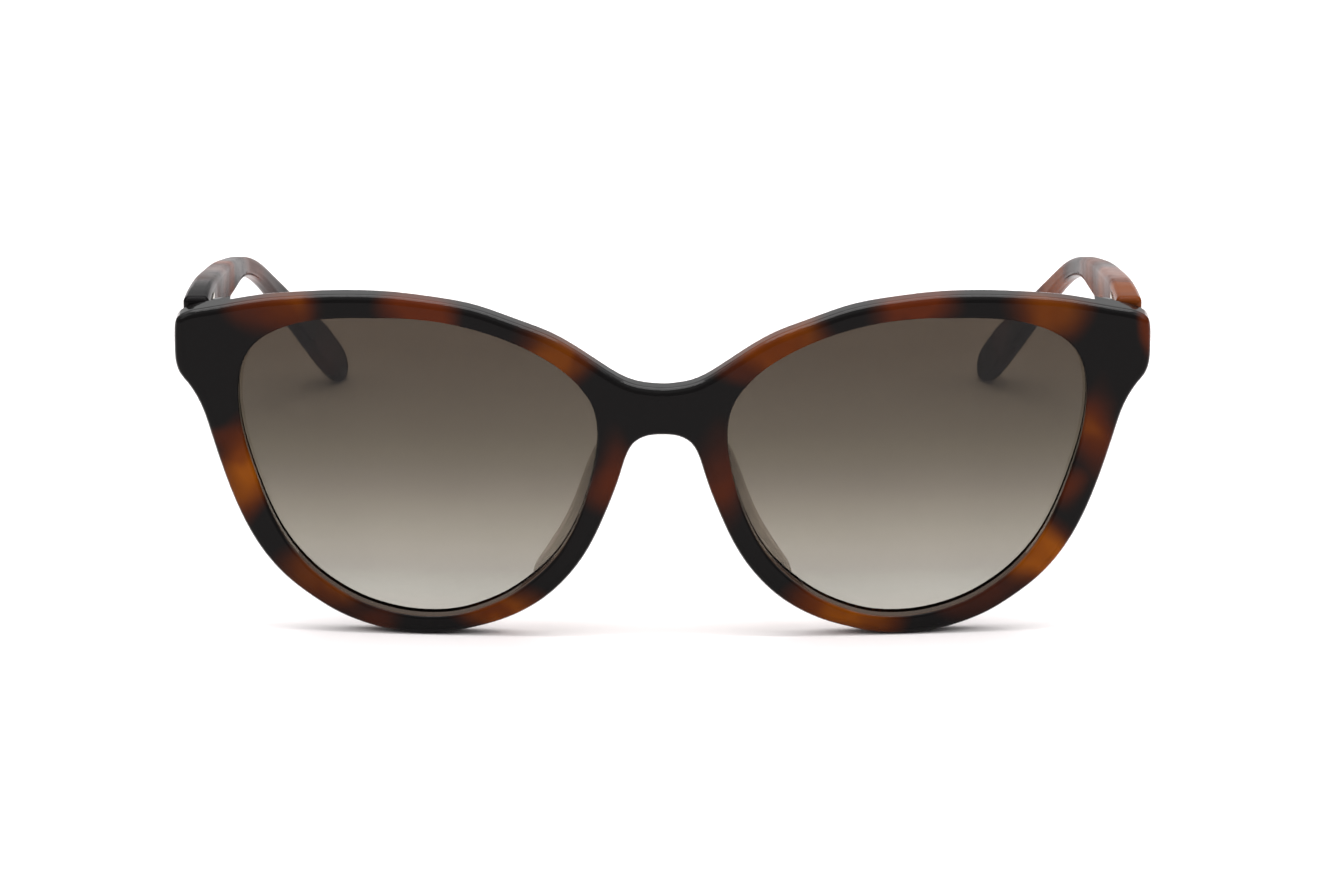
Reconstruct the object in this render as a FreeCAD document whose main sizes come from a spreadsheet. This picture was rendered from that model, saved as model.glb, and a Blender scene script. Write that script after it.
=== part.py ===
# Cat eye sunglasses: acetate front with two curved lenses, moulded nose pads,
# five-barrel hinges and two folding temples with a wire core.
# Millimetres. +Z up, the front looks along -Y, the temples run along +Y.
# The glasses stand open on their two rim bottoms and two temple tips (z = 0).
import FreeCAD, Part
import math, os
from FreeCAD import Vector, Placement, Rotation

doc = FreeCAD.newDocument("CatEyeSunglasses")

# ---------------------------------------------------------------- dimensions
sheet = doc.addObject("Spreadsheet::Sheet", "Dims")
CELLS = [
    ("wrap_radius", 423.0), ("front_thick", 4.0), ("front_tall", 70.0),
    ("lens_setback", 2.0), ("lens_thick", 1.4), ("groove_deep", 0.9),
    ("edge_round", 1.1), ("eye_round", 0.5), ("back_round", 0.8),
    ("block_back", 10.4), ("block_inner", 63.3), ("block_front", 7.6),
    ("prism_long", 70.0), ("front_y", -70.45),
    ("axis_x", 65.0), ("axis_y", 12.0), ("hinge_low", 40.8), ("hinge_tall", 7.0),
    ("barrel_rad", 1.4), ("pin_rad", 0.6), ("pin_play", 0.05), ("barrel_gap", 0.05),
    ("leaf_thick", 0.9), ("head_rad", 1.15), ("head_tall", 0.6),
    ("temple_start", 10.5), ("temple_inner", 66.6), ("temple_round", 0.9),
    ("temple_leaf_long", 7.5), ("wire_rad", 0.5),
    ("bend_y", 98.0), ("bend_z", 29.0), ("tip_drop", 40.0),
    ("pad_long", 14.5), ("pad_wide", 6.0), ("pad_deep", 5.5), ("pad_round", 0.8),
]
for row, (alias, value) in enumerate(CELLS, start=1):
    sheet.set("A%d" % row, alias)
    sheet.set("B%d" % row, str(value))
    sheet.setAlias("B%d" % row, alias)
doc.recompute()
D = {alias: float(sheet.get(alias)) for alias, _ in CELLS}
Y0 = D["front_y"]

# Outline of the left half of the front, from the top of the bridge round the
# outer side to the bottom of the bridge (x, z).
OUTER = [(0.0, 38.1), (-1.63, 38.2), (-4.47, 38.75), (-7.85, 40.5), (-11.4, 42.9), (-16.35, 45.8),
         (-21.42, 47.75), (-27.05, 49.7), (-34.13, 50.95), (-39.81, 51.5), (-44.29, 51.6),
         (-48.84, 51.45), (-53.25, 51.1), (-57.82, 50.6), (-62.33, 49.75), (-66.87, 48.75),
         (-69.9, 47.9), (-71.15, 46.9), (-71.47, 45.4), (-71.5, 42.9), (-71.4, 40.6), (-70.85, 38.8),
         (-69.65, 37.2), (-68.4, 35.3), (-67.35, 33.0), (-66.55, 30.5), (-65.12, 25.8), (-63.15, 20.2),
         (-60.75, 15.0), (-58.2, 11.1), (-55.2, 7.9), (-51.8, 5.3), (-48.2, 3.1), (-44.6, 1.6),
         (-40.4, 0.5), (-36.6, 0.05), (-33.2, 0.08), (-30.6, 0.43), (-27.6, 1.15), (-23.95, 2.25),
         (-20.35, 3.9), (-17.25, 5.95), (-14.7, 8.3), (-12.3, 11.25), (-10.35, 14.5), (-8.7, 18.1),
         (-7.45, 21.2), (-6.25, 24.65), (-5.25, 27.8), (-4.2, 29.6), (-2.5, 30.65), (0.0, 30.95)]
# Eye opening on the left (x, z).
EYE = [(-41.14, 48.15), (-37.0, 48.15), (-32.0, 47.65), (-27.0, 46.55), (-22.3, 44.95), (-18.2, 43.0),
       (-14.75, 40.75), (-12.1, 38.2), (-10.4, 35.6), (-9.65, 32.9), (-9.55, 29.9), (-10.0, 26.3),
       (-10.9, 22.4), (-12.2, 18.6), (-13.85, 15.1), (-15.8, 12.2), (-17.95, 9.9), (-20.3, 7.9),
       (-23.1, 6.0), (-26.5, 4.4), (-30.1, 3.3), (-33.9, 2.9), (-37.7, 3.1), (-41.3, 3.85),
       (-44.8, 5.1), (-48.0, 6.85), (-50.9, 9.0), (-53.6, 11.75), (-56.1, 15.3), (-58.1, 19.4),
       (-59.7, 23.7), (-60.95, 27.7), (-61.8, 31.5), (-62.15, 35.2), (-62.0, 38.3), (-61.3, 41.1),
       (-59.8, 43.5), (-57.5, 45.3), (-54.4, 46.7), (-49.8, 47.7), (-45.5, 48.05)]
# Outline of the left nose pad, following the rim beside the nose (x, z).
PAD = [(-5.7, 28.2), (-6.75, 24.8), (-8.0, 21.3), (-9.35, 18.2), (-11.05, 14.9), (-13.05, 11.7), (-15.3, 8.95),
       (-17.2, 7.5), (-18.9, 7.6), (-18.9, 9.2), (-17.7, 11.1), (-16.35, 13.0), (-14.65, 15.7), (-13.1, 19.0),
       (-11.8, 22.6), (-10.6, 26.0), (-9.2, 28.6), (-7.2, 29.6)]
# Side view of a temple: over the top from the hinge end, round the tip, back
# under it (y from the front, z).
SIDE = [(10.5, 49.2), (20.0, 48.3), (32.0, 46.5), (46.0, 43.85), (62.0, 40.6), (76.0, 37.4), (88.0, 34.55),
        (98.0, 31.85), (106.0, 28.75), (112.0, 25.5), (118.0, 21.85), (125.0, 17.3), (132.0, 12.75), (136.0, 9.75),
        (139.0, 6.6), (140.65, 4.2), (140.7, 2.0), (139.4, 0.42), (137.3, 0.05), (135.2, 0.9), (133.0, 2.65),
        (128.0, 7.58), (123.0, 12.4), (118.0, 16.75), (114.0, 20.05), (109.0, 23.65), (104.0, 26.4), (98.0, 28.7),
        (90.0, 30.6), (80.0, 32.15), (70.0, 33.6), (60.0, 35.2), (45.0, 37.15), (25.0, 38.9), (10.5, 39.4)]
# The left temple's outer and inner faces, measured along its bent tip
# (distance along the tip from the bend, x).
PLAN_OUT = [(-95.0, -70.35), (-70.0, -70.35), (-45.0, -70.05), (-20.0, -69.55), (-5.0, -68.6), (8.0, -66.5),
            (20.0, -63.85), (32.0, -60.6), (42.0, -57.4), (52.0, -53.9), (60.0, -51.0)]
PLAN_IN = [(-95.0, -66.6), (-70.0, -66.6), (-45.0, -66.6), (-20.0, -66.45), (-5.0, -65.8), (8.0, -63.95),
           (20.0, -61.35), (32.0, -58.1), (42.0, -54.9), (52.0, -51.4), (60.0, -48.5)]


def offset_loop(points, amount):
    """Closed loop moved outward (away from its inside) by amount."""
    out = []
    n = len(points)
    area = sum(points[i][0] * points[(i + 1) % n][1] - points[(i + 1) % n][0] * points[i][1] for i in range(n))
    sign = 1.0 if area > 0 else -1.0
    for i in range(n):
        ax, az = points[i - 1]
        bx, bz = points[(i + 1) % n]
        dx, dz = bx - ax, bz - az
        size = math.hypot(dx, dz)
        out.append((points[i][0] + sign * dz / size * amount, points[i][1] - sign * dx / size * amount))
    return out


def closed_spline(points, pieces=6):
    """Smooth closed curve through the points, as a chain of open pieces."""
    curve = Part.BSplineCurve()
    curve.interpolate([Vector(a, b, 0) for a, b in points], PeriodicFlag=True)
    knots = curve.getKnots()
    cuts = [knots[round(k * (len(knots) - 1) / pieces)] for k in range(pieces + 1)]
    chain = []
    for a, b in zip(cuts, cuts[1:]):
        part = curve.copy()
        part.segment(a, b)
        chain.append(part)
    return chain


def open_spline(points, pieces=1):
    """Smooth open curve through the points, as a chain of pieces."""
    curve = Part.BSplineCurve()
    curve.interpolate([Vector(a, b, 0) for a, b in points])
    knots = curve.getKnots()
    cuts = [knots[round(k * (len(knots) - 1) / pieces)] for k in range(pieces + 1)]
    chain = []
    for a, b in zip(cuts, cuts[1:]):
        part = curve.copy()
        part.segment(a, b)
        chain.append(part)
    return chain


def line(a, b):
    return Part.LineSegment(Vector(a[0], a[1], 0), Vector(b[0], b[1], 0))


def plate_body(name, plane, curves, long_expr, move=(0, 0, 0)):
    """A body whose sketched outline is padded to both sides of its plane."""
    body = doc.addObject("PartDesign::Body", name)
    sketch = body.newObject("Sketcher::SketchObject", name + "Sketch")
    sketch.AttachmentSupport = [([f for f in body.Origin.OriginFeatures if f.Role == plane][0], "")]
    sketch.MapMode = "FlatFace"
    sketch.addGeometry(curves, False)
    pad = body.newObject("PartDesign::Pad", name + "Pad")
    pad.Profile = sketch
    pad.Midplane = True
    pad.setExpression("Length", long_expr)
    body.Placement = Placement(Vector(*move), Rotation())
    return body


def cylinder(name, radius, height, base):
    obj = doc.addObject("Part::Cylinder", name)
    for prop, value in (("Radius", radius), ("Height", height)):
        if isinstance(value, str):
            obj.setExpression(prop, value)
        else:
            setattr(obj, prop, value)
    obj.Placement = Placement(Vector(*base), Rotation())
    return obj


def box(name, size, corner):
    obj = doc.addObject("Part::Box", name)
    for prop, value in zip(("Length", "Width", "Height"), size):
        if isinstance(value, str):
            obj.setExpression(prop, value)
        else:
            setattr(obj, prop, value)
    obj.Placement = Placement(Vector(*corner), Rotation())
    return obj


def join(kind, name, a, b):
    obj = doc.addObject("Part::" + kind, name)
    obj.Base, obj.Tool = a, b
    return obj


def fuse(name, shapes):
    obj = doc.addObject("Part::MultiFuse", name)
    obj.Shapes = shapes
    return obj


NODES = []


def node(obj, label):
    obj.Label = label
    NODES.append((label, obj))
    return obj


def mirror_x(obj, name):
    twin = doc.addObject("Part::Mirroring", name)
    twin.Source = obj
    twin.Normal = Vector(1, 0, 0)
    twin.Base = Vector(0, 0, 0)
    return twin


# --------------------------------------------------------------- front slab
def setback(x):
    r = D["wrap_radius"]
    return r - math.sqrt(r * r - x * x)


def back_at(x):
    r = D["wrap_radius"] - D["front_thick"]
    return D["wrap_radius"] - math.sqrt(r * r - x * x)


def along(e, test):
    """True when the whole edge passes the test."""
    a, b = e.FirstParameter, e.LastParameter
    return all(test(e.valueAt(a + (b - a) * k / 8.0)) for k in range(9))


def on_front(p):
    return abs(p.y - Y0 - setback(p.x)) < 0.02


def on_back(p):
    return abs(p.y - Y0 - back_at(p.x)) < 0.02


def rounded(name, base, picks):
    """Fillet the edges of base that each (test, radius) pair accepts."""
    doc.recompute()
    obj = doc.addObject("Part::Fillet", name)
    obj.Base = base
    rows = []
    for test, radius in picks:
        for i, e in enumerate(base.Shape.Edges, start=1):
            if along(e, test):
                rows.append((i, radius, radius))
    obj.Edges = rows
    doc.recompute()
    return obj


# The front is its outline cut from a slab bent round a vertical axis.
full = OUTER + [(-x, z) for x, z in OUTER[-2:0:-1]]
outline = plate_body("FrontOutline", "XZ_Plane", closed_spline(full), "Dims.prism_long", (0, Y0, 0))
axis_at = (0, Y0 + D["wrap_radius"], -5.0)
outer_wall = cylinder("FrontOuterWall", "Dims.wrap_radius", "Dims.front_tall", axis_at)
inner_wall = cylinder("FrontInnerWall", "Dims.wrap_radius - Dims.front_thick", "Dims.front_tall", axis_at)
slab = join("Cut", "FrontSlab", outer_wall, inner_wall)
bent = join("Common", "FrontBent", outline, slab)
bent_round = rounded("FrontBentRound", bent, [(on_front, D["edge_round"]), (on_back, D["back_round"])])
# End blocks: thicker, with a flat back for the hinge and the temple's end.
blocks = []
for side, sx in (("Left", -1), ("Right", 1)):
    lump = box("EndLump" + side, (12.0, "Dims.block_back - Dims.block_front", 20.0),
               (-D["block_inner"] - 12.0 if sx < 0 else D["block_inner"], Y0 + D["block_front"], 38.9))
    own = plate_body("EndOutline" + side, "XZ_Plane", closed_spline(full), "Dims.prism_long", (0, Y0, 0))
    lug = join("Common", "EndBlock" + side, own, lump)
    blocks.append(rounded("EndBlockRound" + side, lug, [(lambda p: abs(p.y - Y0 - D["block_back"]) < 0.02, 0.6)]))
whole = fuse("FrontWhole", [bent_round] + blocks)
# Eye openings, and the groove that each lens sits in.
eye_left = plate_body("EyeLeft", "XZ_Plane", closed_spline(EYE), "Dims.prism_long", (0, Y0, 0))
eye_right = plate_body("EyeRight", "XZ_Plane", closed_spline([(-x, z) for x, z in EYE]), "Dims.prism_long", (0, Y0, 0))
open_left = join("Cut", "FrontOpenLeft", whole, eye_left)
open_both = join("Cut", "FrontOpenBoth", open_left, eye_right)


def eye_edge(p):
    return any((abs(p.x) - cx) ** 2 / ax ** 2 + (p.z - 25.6) ** 2 / az ** 2 < 1 for cx, ax, az in ((36.2, 27.6, 24.2),))


eye_round = rounded("FrontEyeRound", open_both,
                    [(lambda p: on_front(p) and eye_edge(p), D["eye_round"]),
                     (lambda p: on_back(p) and eye_edge(p), D["eye_round"])])
lens_axis = axis_at
lens_out = cylinder("LensOuterWall", "Dims.wrap_radius - Dims.lens_setback", "Dims.front_tall", lens_axis)
lens_in = cylinder("LensInnerWall", "Dims.wrap_radius - Dims.lens_setback - Dims.lens_thick", "Dims.front_tall", lens_axis)
lens_slab = join("Cut", "LensSlab", lens_out, lens_in)
lens_edge = plate_body("LensEdge", "XZ_Plane", closed_spline(offset_loop(EYE, D["groove_deep"])), "Dims.prism_long", (0, Y0, 0))
lens_left = node(join("Common", "LensLeft", lens_edge, lens_slab), "lens_left")
lens_right = node(mirror_x(lens_left, "LensRight"), "lens_right")
grooved = join("Cut", "FrontGroovedLeft", eye_round, lens_left)
grooved = join("Cut", "FrontGrooved", grooved, lens_right)

# ------------------------------------------------------------------- hinges
# Five barrels on one upright axis: three on the front's leaf, two between
# them on the temple's leaf. The left hinge is built, the right one mirrors it.
AX, AY, LOW = -D["axis_x"], Y0 + D["axis_y"], D["hinge_low"]
BACK = Y0 + D["block_back"]
STEP = D["hinge_tall"] / 5.0
GAP = D["barrel_gap"]
TI = D["temple_inner"]


def xbox(name, x_far, x_near, y0, wide, z0, tall):
    """Box between two distances out from the middle plane, on the left."""
    return box(name, (x_far - x_near, wide, tall), (-x_far, y0, z0))


# front leaf: a plate let into the end block, three knuckles
leaf = xbox("FrontLeaf", 67.6, 63.9, BACK - D["leaf_thick"], "Dims.leaf_thick", LOW, "Dims.hinge_tall")
leaf_pocket = xbox("FrontLeafPocket", 67.6, 63.9, BACK - D["leaf_thick"], D["leaf_thick"] + 1.0, LOW, "Dims.hinge_tall")
parts = [leaf]
for k in (0, 2, 4):
    parts.append(cylinder("FrontBarrel%d" % k, "Dims.barrel_rad", "Dims.hinge_tall / 5", (AX, AY, LOW + k * STEP)))
    parts.append(xbox("FrontNeck%d" % k, -AX + 1.1, -AX - 1.1, BACK - 0.3, AY - BACK + 0.3, LOW + k * STEP, STEP))
bore = cylinder("FrontHingeBore", "Dims.pin_rad", 12.0, (AX, AY, LOW - 3.0))
front_hinge = node(join("Cut", "FrontHinge", fuse("FrontHingeBody", parts), bore), "front_hinge_left")
node(mirror_x(front_hinge, "FrontHingeRight"), "front_hinge_right")

# temple leaf: a plate let into the temple's inner face, two knuckles
leaf_y = AY + 1.8
leaf = xbox("TempleLeaf", TI + 0.8, TI - 0.15, leaf_y, "Dims.temple_leaf_long", LOW + 0.6, 5.6)
temple_pocket = xbox("TempleLeafPocket", TI + 0.8, TI - 3.0, leaf_y, "Dims.temple_leaf_long", LOW + 0.6, 5.6)
parts = [leaf]
for k in (1, 3):
    parts.append(cylinder("TempleBarrel%d" % k, "Dims.barrel_rad", "Dims.hinge_tall / 5 - 2 * Dims.barrel_gap",
                          (AX, AY, LOW + k * STEP + GAP)))
    parts.append(xbox("TempleNeck%d" % k, TI - 0.15, -AX - 0.1, AY, 3.4, LOW + k * STEP + GAP, STEP - 2 * GAP))
bore = cylinder("TempleHingeBore", "Dims.pin_rad + Dims.pin_play", 12.0, (AX, AY, LOW - 3.0))
temple_hinge = node(join("Cut", "TempleHinge", fuse("TempleHingeBody", parts), bore), "temple_hinge_left")
node(mirror_x(temple_hinge, "TempleHingeRight"), "temple_hinge_right")

# screw: shaft through all five barrels, slotted head on top
shaft = cylinder("ScrewShaft", "Dims.pin_rad", "Dims.hinge_tall + 0.2", (AX, AY, LOW - 0.2))
head = cylinder("ScrewHead", "Dims.head_rad", "Dims.head_tall", (AX, AY, LOW + D["hinge_tall"]))
slot = box("ScrewSlot", (3.0, 0.3, 0.4), (AX - 1.5, AY - 0.15, LOW + D["hinge_tall"] + D["head_tall"] - 0.25))
screw = node(join("Cut", "Screw", fuse("ScrewBlank", [shaft, head]), slot), "hinge_screw_left")
node(mirror_x(screw, "ScrewRight"), "hinge_screw_right")

# the end blocks are recessed for the leaves
pocket_right = mirror_x(leaf_pocket, "FrontLeafPocketRight")
front = join("Cut", "FrontPocketLeft", grooved, leaf_pocket)
front = node(join("Cut", "Front", front, pocket_right), "frame_front")

# ---------------------------------------------------------------- nose pads
# A long low dome on the back of each rim beside the nose.
behind = cylinder("BehindFront", "Dims.wrap_radius - Dims.front_thick", "Dims.front_tall", axis_at)
dome = doc.addObject("Part::Ellipsoid", "PadDome")
dome.setExpression("Radius1", "Dims.pad_long")
dome.setExpression("Radius2", "Dims.pad_wide")
dome.setExpression("Radius3", "Dims.pad_deep")
dome.Placement = Placement(Vector(-11.9, Y0 + 3.6, 18.4), Rotation(Vector(0, 1, 0), 27.0))
pad_edge = plate_body("PadOutline", "XZ_Plane", closed_spline(PAD), "Dims.prism_long", (0, Y0, 0))
pad_raw = join("Common", "PadRaw", join("Common", "PadDomed", pad_edge, dome), behind)
pad = node(rounded("Pad", pad_raw, [(lambda p: not on_back(p), D["pad_round"])]), "nose_pad_left")
node(mirror_x(pad, "PadRight"), "nose_pad_right")

# ------------------------------------------------------------------ temples
# Side view and plan, each padded through, share the temple's solid.
side_pts = [(y + Y0, z) for y, z in SIDE]
flank = plate_body("TempleSide", "YZ_Plane", open_spline(side_pts, 6) + [line(side_pts[-1], side_pts[0])], "Dims.prism_long * 2.4")
outp = [(x, y) for y, x in PLAN_OUT]
inp = [(x, y) for y, x in PLAN_IN]
plan = plate_body("TemplePlan", "XY_Plane",
                  open_spline(outp) + [line(outp[-1], inp[-1])] + open_spline(inp[::-1]) + [line(inp[0], outp[0])],
                  "Dims.prism_long * 2.2")
plan.Placement = Placement(Vector(0, Y0 + D["bend_y"], D["bend_z"]), Rotation(Vector(1, 0, 0), -D["tip_drop"]))
temple_raw = join("Common", "TempleRaw", flank, plan)
temple_round = rounded("TempleRound", temple_raw, [(lambda p: True, D["temple_round"])])


def bent_path(points, radius):
    """Straight runs joined by tangent arcs."""
    edges, at = [], Vector(*points[0])
    for a, b, c in zip(points, points[1:], points[2:]):
        a, b, c = Vector(*a), Vector(*b), Vector(*c)
        u, w = (b - a).normalize(), (c - b).normalize()
        turn = u.getAngle(w)
        back = radius * math.tan(turn / 2)
        p, q = b - u * back, b + w * back
        mid_dir = (w - u).normalize()
        centre = b + mid_dir * (radius / math.cos(turn / 2))
        edges.append(Part.LineSegment(at, p).toShape())
        edges.append(Part.Arc(p, centre - mid_dir * radius, q).toShape())
        at = q
    edges.append(Part.LineSegment(at, Vector(*points[-1])).toShape())
    return Part.Wire(edges)


# core wire: a nickel silver rod shot into the acetate from the hinge end
route = [(-68.45, 26.0, 43.2), (-68.2, 60.0, 38.3), (-66.7, 101.0, 29.8), (-61.8, 119.0, 18.6)]
route = [(x, y + Y0, z) for x, y, z in route]
path = bent_path(route, 30.0)
first = Vector(*route[1]) - Vector(*route[0])
ring = Part.Wire([Part.Circle(Vector(*route[0]), first, D["wire_rad"]).toShape()])
wire = doc.addObject("Part::Feature", "CoreWire")
wire.Shape = path.makePipeShell([ring], True, False)
node(wire, "core_wire_left")
wire_right = node(mirror_x(wire, "CoreWireRight"), "core_wire_right")
temple = join("Cut", "TempleWireHole", temple_round, wire)
temple = node(join("Cut", "Temple", temple, temple_pocket), "temple_left")
node(mirror_x(temple, "TempleRight"), "temple_right")

# -------------------------------------------------------------------- write
doc.recompute()
for obj in doc.Objects:
    if "Invalid" in obj.State or "Error" in obj.State:
        raise RuntimeError("object failed: %s %s" % (obj.Name, obj.State))
os.makedirs("parts", exist_ok=True)
for label, obj in NODES:
    if obj.Shape.isNull() or not obj.Shape.isValid() or len(obj.Shape.Solids) != 1:
        raise RuntimeError("bad shape: " + label)
for label, obj in NODES:
    obj.Shape.exportStep("parts/%s.step" % label)
    box_ = obj.Shape.BoundBox
    print("%-20s volume %8.1f  x %7.2f %7.2f  y %7.2f %7.2f  z %6.2f %6.2f"
          % (label, obj.Shape.Volume, box_.XMin, box_.XMax, box_.YMin, box_.YMax, box_.ZMin, box_.ZMax))
print("wire in temple", round(wire.Shape.Volume, 2), round(wire.Shape.common(temple_round.Shape).Volume, 2))
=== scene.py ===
# Cat eye sunglasses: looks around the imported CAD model.
import bpy, bmesh, math, random
from mathutils import Vector, Matrix


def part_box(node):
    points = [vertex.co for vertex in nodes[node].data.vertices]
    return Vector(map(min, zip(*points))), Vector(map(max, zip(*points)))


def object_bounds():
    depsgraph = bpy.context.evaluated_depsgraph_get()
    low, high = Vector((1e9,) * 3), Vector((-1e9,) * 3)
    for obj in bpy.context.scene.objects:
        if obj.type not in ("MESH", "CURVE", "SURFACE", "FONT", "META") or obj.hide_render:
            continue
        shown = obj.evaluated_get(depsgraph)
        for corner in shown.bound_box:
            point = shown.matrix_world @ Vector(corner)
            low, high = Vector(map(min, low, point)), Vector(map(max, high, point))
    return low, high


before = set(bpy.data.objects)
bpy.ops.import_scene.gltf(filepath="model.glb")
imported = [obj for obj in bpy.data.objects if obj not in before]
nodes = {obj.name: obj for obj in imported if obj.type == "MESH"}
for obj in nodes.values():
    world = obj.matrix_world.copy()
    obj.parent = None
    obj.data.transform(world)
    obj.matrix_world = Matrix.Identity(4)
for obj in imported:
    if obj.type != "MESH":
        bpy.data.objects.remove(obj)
cad_lo, cad_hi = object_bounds()
MM = 0.001

# ------------------------------------------------------------------ camera
FRONT_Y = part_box("frame_front")[0].y          # front plane of the glasses
FOCAL_PX, DIST, ELEV, AIM_Z = 6846.0, 1.0, math.radians(16.5), 0.0301
cam_data = bpy.data.cameras.new("camera")
cam_data.sensor_width = 36.0
cam_data.sensor_fit = "HORIZONTAL"
cam_data.lens = 36.0 * FOCAL_PX / 1325.0
cam_data.clip_start, cam_data.clip_end = 0.05, 50
cam = bpy.data.objects.new("camera", cam_data)
bpy.context.scene.collection.objects.link(cam)
aim = Vector((0, FRONT_Y, AIM_Z))
cam.location = aim + DIST * Vector((0, -math.cos(ELEV), math.sin(ELEV)))
cam.rotation_euler = (aim - cam.location).to_track_quat("-Z", "Y").to_euler()
bpy.context.scene.camera = cam
bpy.context.scene.view_settings.view_transform = "Standard"
bpy.context.scene.view_settings.look = "None"


# --------------------------------------------------------------- node tools
def lin(r, g, b):
    def f(v):
        v /= 255.0
        return v / 12.92 if v <= 0.04045 else ((v + 0.055) / 1.055) ** 2.4
    return (f(r), f(g), f(b), 1.0)


class Tree:
    """Small helper that adds and links shader nodes."""

    def __init__(self, name):
        self.mat = bpy.data.materials.new(name)
        self.mat.use_nodes = True
        self.t = self.mat.node_tree
        self.t.nodes.clear()
        self.out = self.t.nodes.new("ShaderNodeOutputMaterial")

    def add(self, kind, **props):
        n = self.t.nodes.new(kind)
        for k, v in props.items():
            setattr(n, k, v)
        return n

    def link(self, a, b):
        self.t.links.new(a, b)

    def val(self, x):
        return x

    def math(self, op, a, b=None, c=None, clamp=False):
        n = self.add("ShaderNodeMath", operation=op, use_clamp=clamp)
        for i, v in enumerate((a, b, c)):
            if v is None:
                continue
            if isinstance(v, (int, float)):
                n.inputs[i].default_value = v
            else:
                self.link(v, n.inputs[i])
        return n.outputs[0]

    def vmath(self, op, a, b=None):
        n = self.add("ShaderNodeVectorMath", operation=op)
        for i, v in enumerate((a, b)):
            if v is None:
                continue
            if isinstance(v, (tuple, list)):
                n.inputs[i].default_value = v
            else:
                self.link(v, n.inputs[i])
        return n.outputs["Value" if op in ("LENGTH", "DISTANCE", "DOT_PRODUCT") else "Vector"]

    def noise(self, vec, scale, detail=2.0, rough=0.5, color=False):
        n = self.add("ShaderNodeTexNoise")
        n.inputs["Scale"].default_value = scale
        n.inputs["Detail"].default_value = detail
        n.inputs["Roughness"].default_value = rough
        self.link(vec, n.inputs["Vector"])
        return n.outputs["Color" if color else "Fac"]

    def mix(self, fac, a, b):
        n = self.add("ShaderNodeMix", data_type="RGBA")
        for sock, v in ((n.inputs["Factor"], fac), (n.inputs["A"], a), (n.inputs["B"], b)):
            pass
        f = n.inputs[0]
        a_in = [s for s in n.inputs if s.name == "A" and s.type == "RGBA"][0]
        b_in = [s for s in n.inputs if s.name == "B" and s.type == "RGBA"][0]
        for sock, v in ((f, fac), (a_in, a), (b_in, b)):
            if isinstance(v, (int, float, tuple, list)):
                sock.default_value = v
            else:
                self.link(v, sock)
        return [s for s in n.outputs if s.type == "RGBA"][0]

    def smooth(self, x, lo, hi, to_lo=0.0, to_hi=1.0):
        n = self.add("ShaderNodeMapRange", interpolation_type="SMOOTHSTEP")
        n.inputs["From Min"].default_value = lo
        n.inputs["From Max"].default_value = hi
        n.inputs["To Min"].default_value = to_lo
        n.inputs["To Max"].default_value = to_hi
        self.link(x, n.inputs["Value"])
        return n.outputs["Result"]


# ------------------------------------------------------------ tortoise shell
# Blotches in the acetate: centre (x, y from the front, z), half sizes, in mm,
# strength and family.
AMBER = [
    ((-55.2, 2.0, 49.6), (3.4, 6, 4.4), 0.62), ((-15.0, 2.0, 43.6), (5.2, 6, 3.6), 0.68),
    ((-23.6, 2.0, 4.6), (5.4, 6, 3.4), 0.85), ((-49.6, 2.0, 8.2), (4.6, 6, 3.6), 0.6),
    ((-61.8, 2.0, 24.0), (3.2, 6, 6.6), 1.2), ((17.0, 2.0, 44.8), (5.6, 6, 3.4), 1.0),
    ((56.0, 2.0, 49.2), (4.6, 6, 4.2), 0.75), ((54.4, 2.0, 11.2), (5.0, 6, 4.8), 1.15),
    ((26.8, 2.0, 4.2), (7.0, 6, 3.2), 0.9), ((63.4, 2.0, 30.6), (2.0, 6, 3.8), 0.6),
]
RED = [
    ((-35.0, 2.0, 49.8), (4.3, 6, 3.6), 1.2), ((-57.0, 2.0, 49.6), (5.6, 6, 4.0), 0.9),
    ((-7.6, 2.0, 25.0), (3.0, 6, 5.4), 0.8), ((-64.4, 2.0, 29.4), (2.4, 6, 2.2), 0.6),
    ((36.4, 2.0, 50.4), (5.4, 6, 3.6), 1.3), ((63.6, 2.0, 30.0), (3.0, 6, 6.4), 1.1),
    ((8.4, 2.0, 24.0), (3.0, 6, 6.4), 0.8), ((-42.0, 2.0, 3.2), (3.4, 6, 2.2), 0.5),
    ((60.5, 2.0, 20.5), (2.0, 6, 2.8), 0.7), ((71.6, 5.0, 46.5), (1.3, 8, 4.0), 1.0),
    ((10.0, 2.0, 41.5), (4.0, 6, 3.0), 0.6), ((46.0, 2.0, 5.0), (4.5, 6, 3.0), 0.5),
]


def blotches(t, coord, listing, soft):
    """Strongest of a list of soft ellipsoids, 0 to 1."""
    best = None
    for centre, half, power in listing:
        d = t.vmath("SUBTRACT", coord, tuple(v * MM for v in (centre[0], centre[1] + FRONT_Y / MM, centre[2])))
        d = t.vmath("DIVIDE", d, tuple(v * MM for v in half))
        d = t.vmath("LENGTH", d)
        w = t.smooth(d, 1.0 + soft, 1.0 - soft, 0.0, power)
        best = w if best is None else t.math("MAXIMUM", best, w)
    return best


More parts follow.
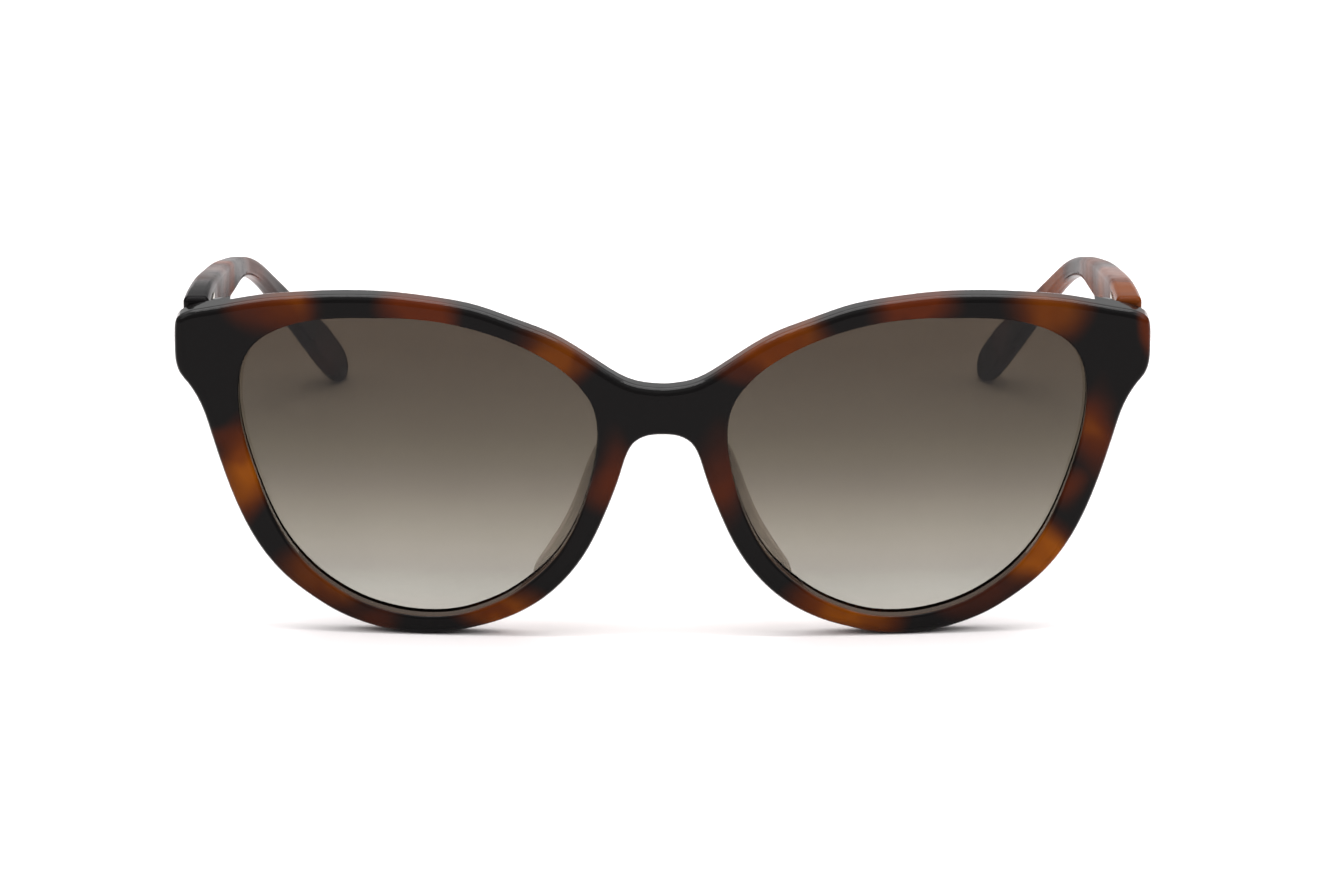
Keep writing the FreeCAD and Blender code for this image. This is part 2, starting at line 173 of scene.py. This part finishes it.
def acetate(name, ambers, reds, dark, spec=0.22, mottled=0.0, matte=0.0, brown=(92, 60, 40), rough=(0.09, 0.16), edge_spec=0.0, painted_wall_light=None, glow=None):
    t = Tree(name)
    co = t.add("ShaderNodeTexCoord").outputs["Object"]
    warp = t.vmath("SUBTRACT", t.noise(co, 85.0, 1.0, 0.4, True), (0.5, 0.5, 0.5))
    sc = t.add("ShaderNodeVectorMath", operation="SCALE")
    t.link(warp, sc.inputs[0]); sc.inputs["Scale"].default_value = 0.0075
    warped = t.vmath("ADD", co, sc.outputs[0])
    cloud = t.noise(warped, 150.0, 1.5, 0.45)
    col = dark
    if reds:
        w = blotches(t, warped, reds, 0.62)
        w = t.math("MULTIPLY", w, t.smooth(cloud, 0.2, 0.6, 0.6, 1.0), clamp=True)
        col = t.mix(w, col, lin(82, 33, 12))
    if mottled:
        soft = t.noise(co, 52.0, 1.0, 0.4)
        w = t.smooth(soft, 0.44, 0.62, 0.0, mottled)
        col = t.mix(w, col, lin(*brown))
        if glow:
            w = t.math("MULTIPLY", t.smooth(soft, 0.56, 0.72), t.smooth(t.noise(co, 110.0, 1.5, 0.45), 0.3, 0.6, 0.4, 1.0))
            col = t.mix(w, col, lin(*glow))
    if ambers:
        w = blotches(t, warped, ambers, 0.6)
        col = t.mix(t.math("MULTIPLY", t.math("POWER", w, 0.6), 0.9), col, lin(66, 25, 7))
        w = t.math("POWER", w, 1.8, clamp=True)
        w = t.math("MULTIPLY", w, t.smooth(cloud, 0.2, 0.55, 0.7, 1.0), clamp=True)
        col = t.mix(w, col, t.mix(t.smooth(cloud, 0.35, 0.65), lin(98, 44, 6), lin(132, 68, 6)))
    if painted_wall_light:
        # painted light: the lower walls of each opening get a lighter colour, standing in for light that the clear
        # lens leads down onto them
        pos, nrm = t.add("ShaderNodeSeparateXYZ"), t.add("ShaderNodeSeparateXYZ")
        t.link(co, pos.inputs[0])
        t.link(t.add("ShaderNodeTexCoord").outputs["Normal"], nrm.inputs[0])
        side = t.math("SIGN", pos.outputs["X"])
        dx = t.math("SUBTRACT", t.math("ABSOLUTE", pos.outputs["X"]), 0.036)
        dz = t.math("SUBTRACT", pos.outputs["Z"], 0.0255)
        inward = t.math("ADD", t.math("MULTIPLY", t.math("MULTIPLY", nrm.outputs["X"], side), dx),
                        t.math("MULTIPLY", nrm.outputs["Z"], dz))
        w = t.math("MULTIPLY", t.smooth(inward, -0.004, -0.012), t.smooth(t.math("ABSOLUTE", nrm.outputs["Y"]), 0.75, 0.3))
        w = t.math("MULTIPLY", w, t.smooth(pos.outputs["Z"], 0.024, 0.009, 0.0, 0.85), clamp=True)
        col = t.mix(w, col, painted_wall_light)
    p = t.add("ShaderNodeBsdfPrincipled")
    if isinstance(col, tuple):
        p.inputs["Base Color"].default_value = col
    else:
        t.link(col, p.inputs["Base Color"])
    # fine handling marks keep the polish from being perfectly even
    marks = t.noise(co, 900.0, 2.0, 0.6)
    t.link(t.smooth(marks, 0.3, 0.75, rough[0], rough[1]), p.inputs["Roughness"])
    if edge_spec:
        # the flat front is lapped duller than the polished edges and walls
        nrm = t.add("ShaderNodeTexCoord").outputs["Normal"]
        sp = t.add("ShaderNodeSeparateXYZ")
        t.link(nrm, sp.inputs[0])
        t.link(t.smooth(t.math("MULTIPLY", sp.outputs["Y"], -1.0), 0.4, 0.75, edge_spec, spec), p.inputs["Specular IOR Level"])
    else:
        p.inputs["Specular IOR Level"].default_value = spec
    p.inputs["IOR"].default_value = 1.49
    bump = t.add("ShaderNodeBump")
    bump.inputs["Strength"].default_value = 0.03
    bump.inputs["Distance"].default_value = 0.0002
    t.link(t.noise(co, 150.0, 1.0, 0.4), bump.inputs["Height"])
    t.link(bump.outputs[0], p.inputs["Normal"])
    if matte:
        # handled surface: part of the grazing shine is lost, in soft patches
        dull = t.add("ShaderNodeBsdfDiffuse")
        if isinstance(col, tuple):
            dull.inputs["Color"].default_value = col
        else:
            t.link(col, dull.inputs["Color"])
        m = t.add("ShaderNodeMixShader")
        up = t.add("ShaderNodeSeparateXYZ")
        t.link(t.add("ShaderNodeTexCoord").outputs["Normal"], up.inputs[0])
        worn = t.smooth(t.noise(warped, 60.0, 2.0, 0.5), 0.3, 0.7, matte - 0.1, matte + 0.1)
        t.link(t.math("MULTIPLY", worn, t.smooth(up.outputs["Z"], -0.6, -0.2, 0.6, 1.0)), m.inputs[0])
        t.link(p.outputs[0], m.inputs[1]); t.link(dull.outputs[0], m.inputs[2])
        t.link(m.outputs[0], t.out.inputs["Surface"])
    else:
        t.link(p.outputs[0], t.out.inputs["Surface"])
    return t.mat


def LENS_GAIN(z):
    """How much darker the tint is than the studio's bright floor would make it."""
    table = [(3.5, (0.88, 0.915, 0.944)), (6.0, (0.836, 0.885, 0.895)), (9.1, (0.70, 0.737, 0.739)),
             (15.2, (0.686, 0.722, 0.706)), (21.3, (0.68, 0.718, 0.732)), (27.4, (0.684, 0.731, 0.743)),
             (33.4, (0.716, 0.80, 0.828)), (39.5, (0.711, 0.771, 0.859)), (47.0, (0.734, 0.855, 0.883))]
    for (z0, a), (z1, b) in zip(table, table[1:]):
        if z <= z1:
            f = max(0.0, (z - z0) / (z1 - z0))
            return tuple(u + (v - u) * f for u, v in zip(a, b))
    return table[-1][1]


def lens_material():
    """Clear tinted resin, darkest at the brow."""
    t = Tree("tinted_lens")
    co = t.add("ShaderNodeTexCoord").outputs["Object"]
    sep = t.add("ShaderNodeSeparateXYZ")
    t.link(co, sep.inputs[0])
    ramp = t.add("ShaderNodeValToRGB")
    height = t.math("DIVIDE", sep.outputs["Z"], 0.050)
    t.link(height, ramp.inputs["Fac"])
    stops = [(3.5, (188, 184, 174)), (6.6, (180, 176, 167)), (9.6, (174, 168, 159)), (12.7, (168, 161, 151)),
             (15.7, (157, 150, 140)), (18.7, (145, 137, 126)), (21.8, (131, 123, 112)), (24.8, (119, 111, 100)),
             (27.9, (110, 102, 91)), (30.9, (102, 93, 83)), (37.0, (93, 84, 74)), (43.1, (87, 77, 68)), (47.0, (86, 75, 67))]
    cr = ramp.color_ramp
    while len(cr.elements) < len(stops):
        cr.elements.new(0.5)
    for e, (z, rgb) in zip(cr.elements, stops):
        e.position = z / 50.0
    for e, (z, rgb) in zip(cr.elements, stops):
        c = lin(*rgb)
        # less what the two faces mirror; the tint acts at each of the two faces
        e.color = tuple(math.sqrt(max(0.002, (v - 0.028) / 0.95 * g)) for v, g in zip(c[:3], LENS_GAIN(z))) + (1.0,)
    clear = t.add("ShaderNodeBsdfTransparent")
    t.link(ramp.outputs["Color"], clear.inputs["Color"])
    gloss = t.add("ShaderNodeBsdfGlossy")
    gloss.inputs["Roughness"].default_value = 0.03
    gloss.inputs["Color"].default_value = (0.8, 0.8, 0.82, 1)
    fr = t.add("ShaderNodeFresnel")
    fr.inputs["IOR"].default_value = 1.3
    mix = t.add("ShaderNodeMixShader")
    t.link(fr.outputs[0], mix.inputs[0])
    t.link(clear.outputs[0], mix.inputs[1])
    t.link(gloss.outputs[0], mix.inputs[2])
    t.link(mix.outputs[0], t.out.inputs["Surface"])
    return t.mat


def smoke(name):
    """Pads of the same acetate left almost clear: a pale smoky brown."""
    t = Tree(name)
    co = t.add("ShaderNodeTexCoord").outputs["Object"]
    cloud = t.smooth(t.noise(co, 160.0, 1.0, 0.4), 0.3, 0.7)
    p = t.add("ShaderNodeBsdfPrincipled")
    t.link(t.mix(cloud, lin(112, 92, 78), lin(140, 120, 104)), p.inputs["Base Color"])
    p.inputs["Roughness"].default_value = 0.12
    p.inputs["IOR"].default_value = 1.49
    clear = t.add("ShaderNodeBsdfTransparent")
    t.link(t.mix(cloud, (0.80, 0.75, 0.70, 1), (0.87, 0.83, 0.79, 1)), clear.inputs["Color"])
    m = t.add("ShaderNodeMixShader")
    m.inputs[0].default_value = 0.78
    t.link(p.outputs[0], m.inputs[1]); t.link(clear.outputs[0], m.inputs[2])
    t.link(m.outputs[0], t.out.inputs["Surface"])
    return t.mat


def metal(name, rgb, rough, streak):
    t = Tree(name)
    co = t.add("ShaderNodeTexCoord").outputs["Object"]
    m = t.add("ShaderNodeMapping")
    m.inputs["Scale"].default_value = streak
    t.link(co, m.inputs["Vector"])
    n = t.noise(m.outputs[0], 900.0, 3.0, 0.6)
    p = t.add("ShaderNodeBsdfPrincipled")
    p.inputs["Metallic"].default_value = 1.0
    base = lin(*rgb)
    t.link(t.mix(n, tuple(v * 0.8 for v in base[:3]) + (1,), base), p.inputs["Base Color"])
    t.link(t.smooth(n, 0.3, 0.7, rough * 0.8, rough * 1.25), p.inputs["Roughness"])
    t.link(p.outputs[0], t.out.inputs["Surface"])
    return t.mat


BLACK = lin(19, 18, 18)
# the lower inner walls of the front's lens openings carry painted light, lin(88, 72, 62)
front_mat = acetate("front_acetate", AMBER, RED, BLACK, spec=0.065, edge_spec=0.38, rough=(0.05, 0.09), painted_wall_light=lin(88, 72, 62))
temple_mat = acetate("temple_acetate", None, None, lin(19, 17, 18), spec=0.22, mottled=0.95, matte=0.66,
                     brown=(86, 38, 18), rough=(0.1, 0.16), glow=(118, 58, 12))
pad_mat = smoke("pad_acetate")
glass_mat = lens_material()
hinge_mat = metal("hinge_metal", (186, 180, 168), 0.28, (1, 1, 6))
screw_mat = metal("screw_steel", (200, 200, 202), 0.2, (1, 1, 1))
wire_mat = metal("core_wire", (178, 172, 160), 0.3, (1, 8, 1))


def dress(obj, mat):
    obj.data.materials.clear()
    obj.data.materials.append(mat)
    for poly in obj.data.polygons:
        poly.use_smooth = True
    obj.data.set_sharp_from_angle(angle=math.radians(32))


dress(nodes["frame_front"], front_mat)
for s in ("left", "right"):
    dress(nodes["temple_" + s], temple_mat)
    dress(nodes["lens_" + s], glass_mat)
    dress(nodes["nose_pad_" + s], pad_mat)
    dress(nodes["front_hinge_" + s], hinge_mat)
    dress(nodes["temple_hinge_" + s], hinge_mat)
    dress(nodes["hinge_screw_" + s], screw_mat)
    dress(nodes["core_wire_" + s], wire_mat)

# ------------------------------------------------------------------- studio
bm = bmesh.new()
bmesh.ops.create_grid(bm, x_segments=1, y_segments=1, size=4.0)
me = bpy.data.meshes.new("floor")
bm.to_mesh(me); bm.free()
floor = bpy.data.objects.new("floor", me)
floor.location = (0, 0, cad_lo.z)
bpy.context.scene.collection.objects.link(floor)
t = Tree("floor_paper")
d = t.add("ShaderNodeBsdfDiffuse")
co = t.add("ShaderNodeTexCoord").outputs["Object"]
t.link(t.mix(t.noise(co, 6.0, 2.0, 0.5), (0.935, 0.895, 0.895, 1), (0.95, 0.91, 0.91, 1)), d.inputs["Color"])
t.link(d.outputs[0], t.out.inputs["Surface"])
me.materials.append(t.mat)

world = bpy.data.worlds.new("studio")
bpy.context.scene.world = world
world.use_nodes = True
wt = world.node_tree
back = wt.nodes["Background"]
back.inputs["Color"].default_value = (1, 1, 1, 1)


def wnode(kind, a=None, **props):
    n = wt.nodes.new(kind)
    for k, v in props.items():
        setattr(n, k, v)
    if a is not None:
        wt.links.new(a, n.inputs[0])
    return n


def wsmooth(x, lo, hi, to_lo, to_hi):
    n = wnode("ShaderNodeMapRange", x, interpolation_type="SMOOTHSTEP")
    for name, v in (("From Min", lo), ("From Max", hi), ("To Min", to_lo), ("To Max", to_hi)):
        n.inputs[name].default_value = v
    return n.outputs["Result"]


# bright ceiling, a white sweep straight behind, dimmer all round
way = wnode("ShaderNodeSeparateXYZ", wnode("ShaderNodeTexCoord").outputs["Generated"])
ceiling = wsmooth(way.outputs["Z"], 0.40, 0.80, 0.22, 1.3)
sweep = wsmooth(way.outputs["Y"], 0.88, 0.965, 0.0, 0.32)
total = wnode("ShaderNodeMath", ceiling, operation="ADD")
wt.links.new(sweep, total.inputs[1])
wt.links.new(total.outputs[0], back.inputs["Strength"])


def softbox(name, place, look, size, power):
    data = bpy.data.lights.new(name, "AREA")
    data.shape, data.size, data.size_y, data.energy = "RECTANGLE", size[0], size[1], power
    obj = bpy.data.objects.new(name, data)
    obj.location = place
    obj.rotation_euler = (Vector(look) - Vector(place)).to_track_quat("-Z", "Y").to_euler()
    bpy.context.scene.collection.objects.link(obj)


softbox("overhead", (0.0, 0.35, 1.3), (0, 0, 0), (1.6, 0.8), 7)
softbox("strip", (0.0, -0.12, 1.2), (0, -0.07, 0.03), (1.5, 0.12), 5.5)
softbox("fill_left", (-1.1, -0.5, 0.9), (0, 0, 0.02), (0.6, 0.6), 3)
softbox("fill_right", (1.1, -0.4, 0.9), (0, 0, 0.02), (0.6, 0.6), 3)
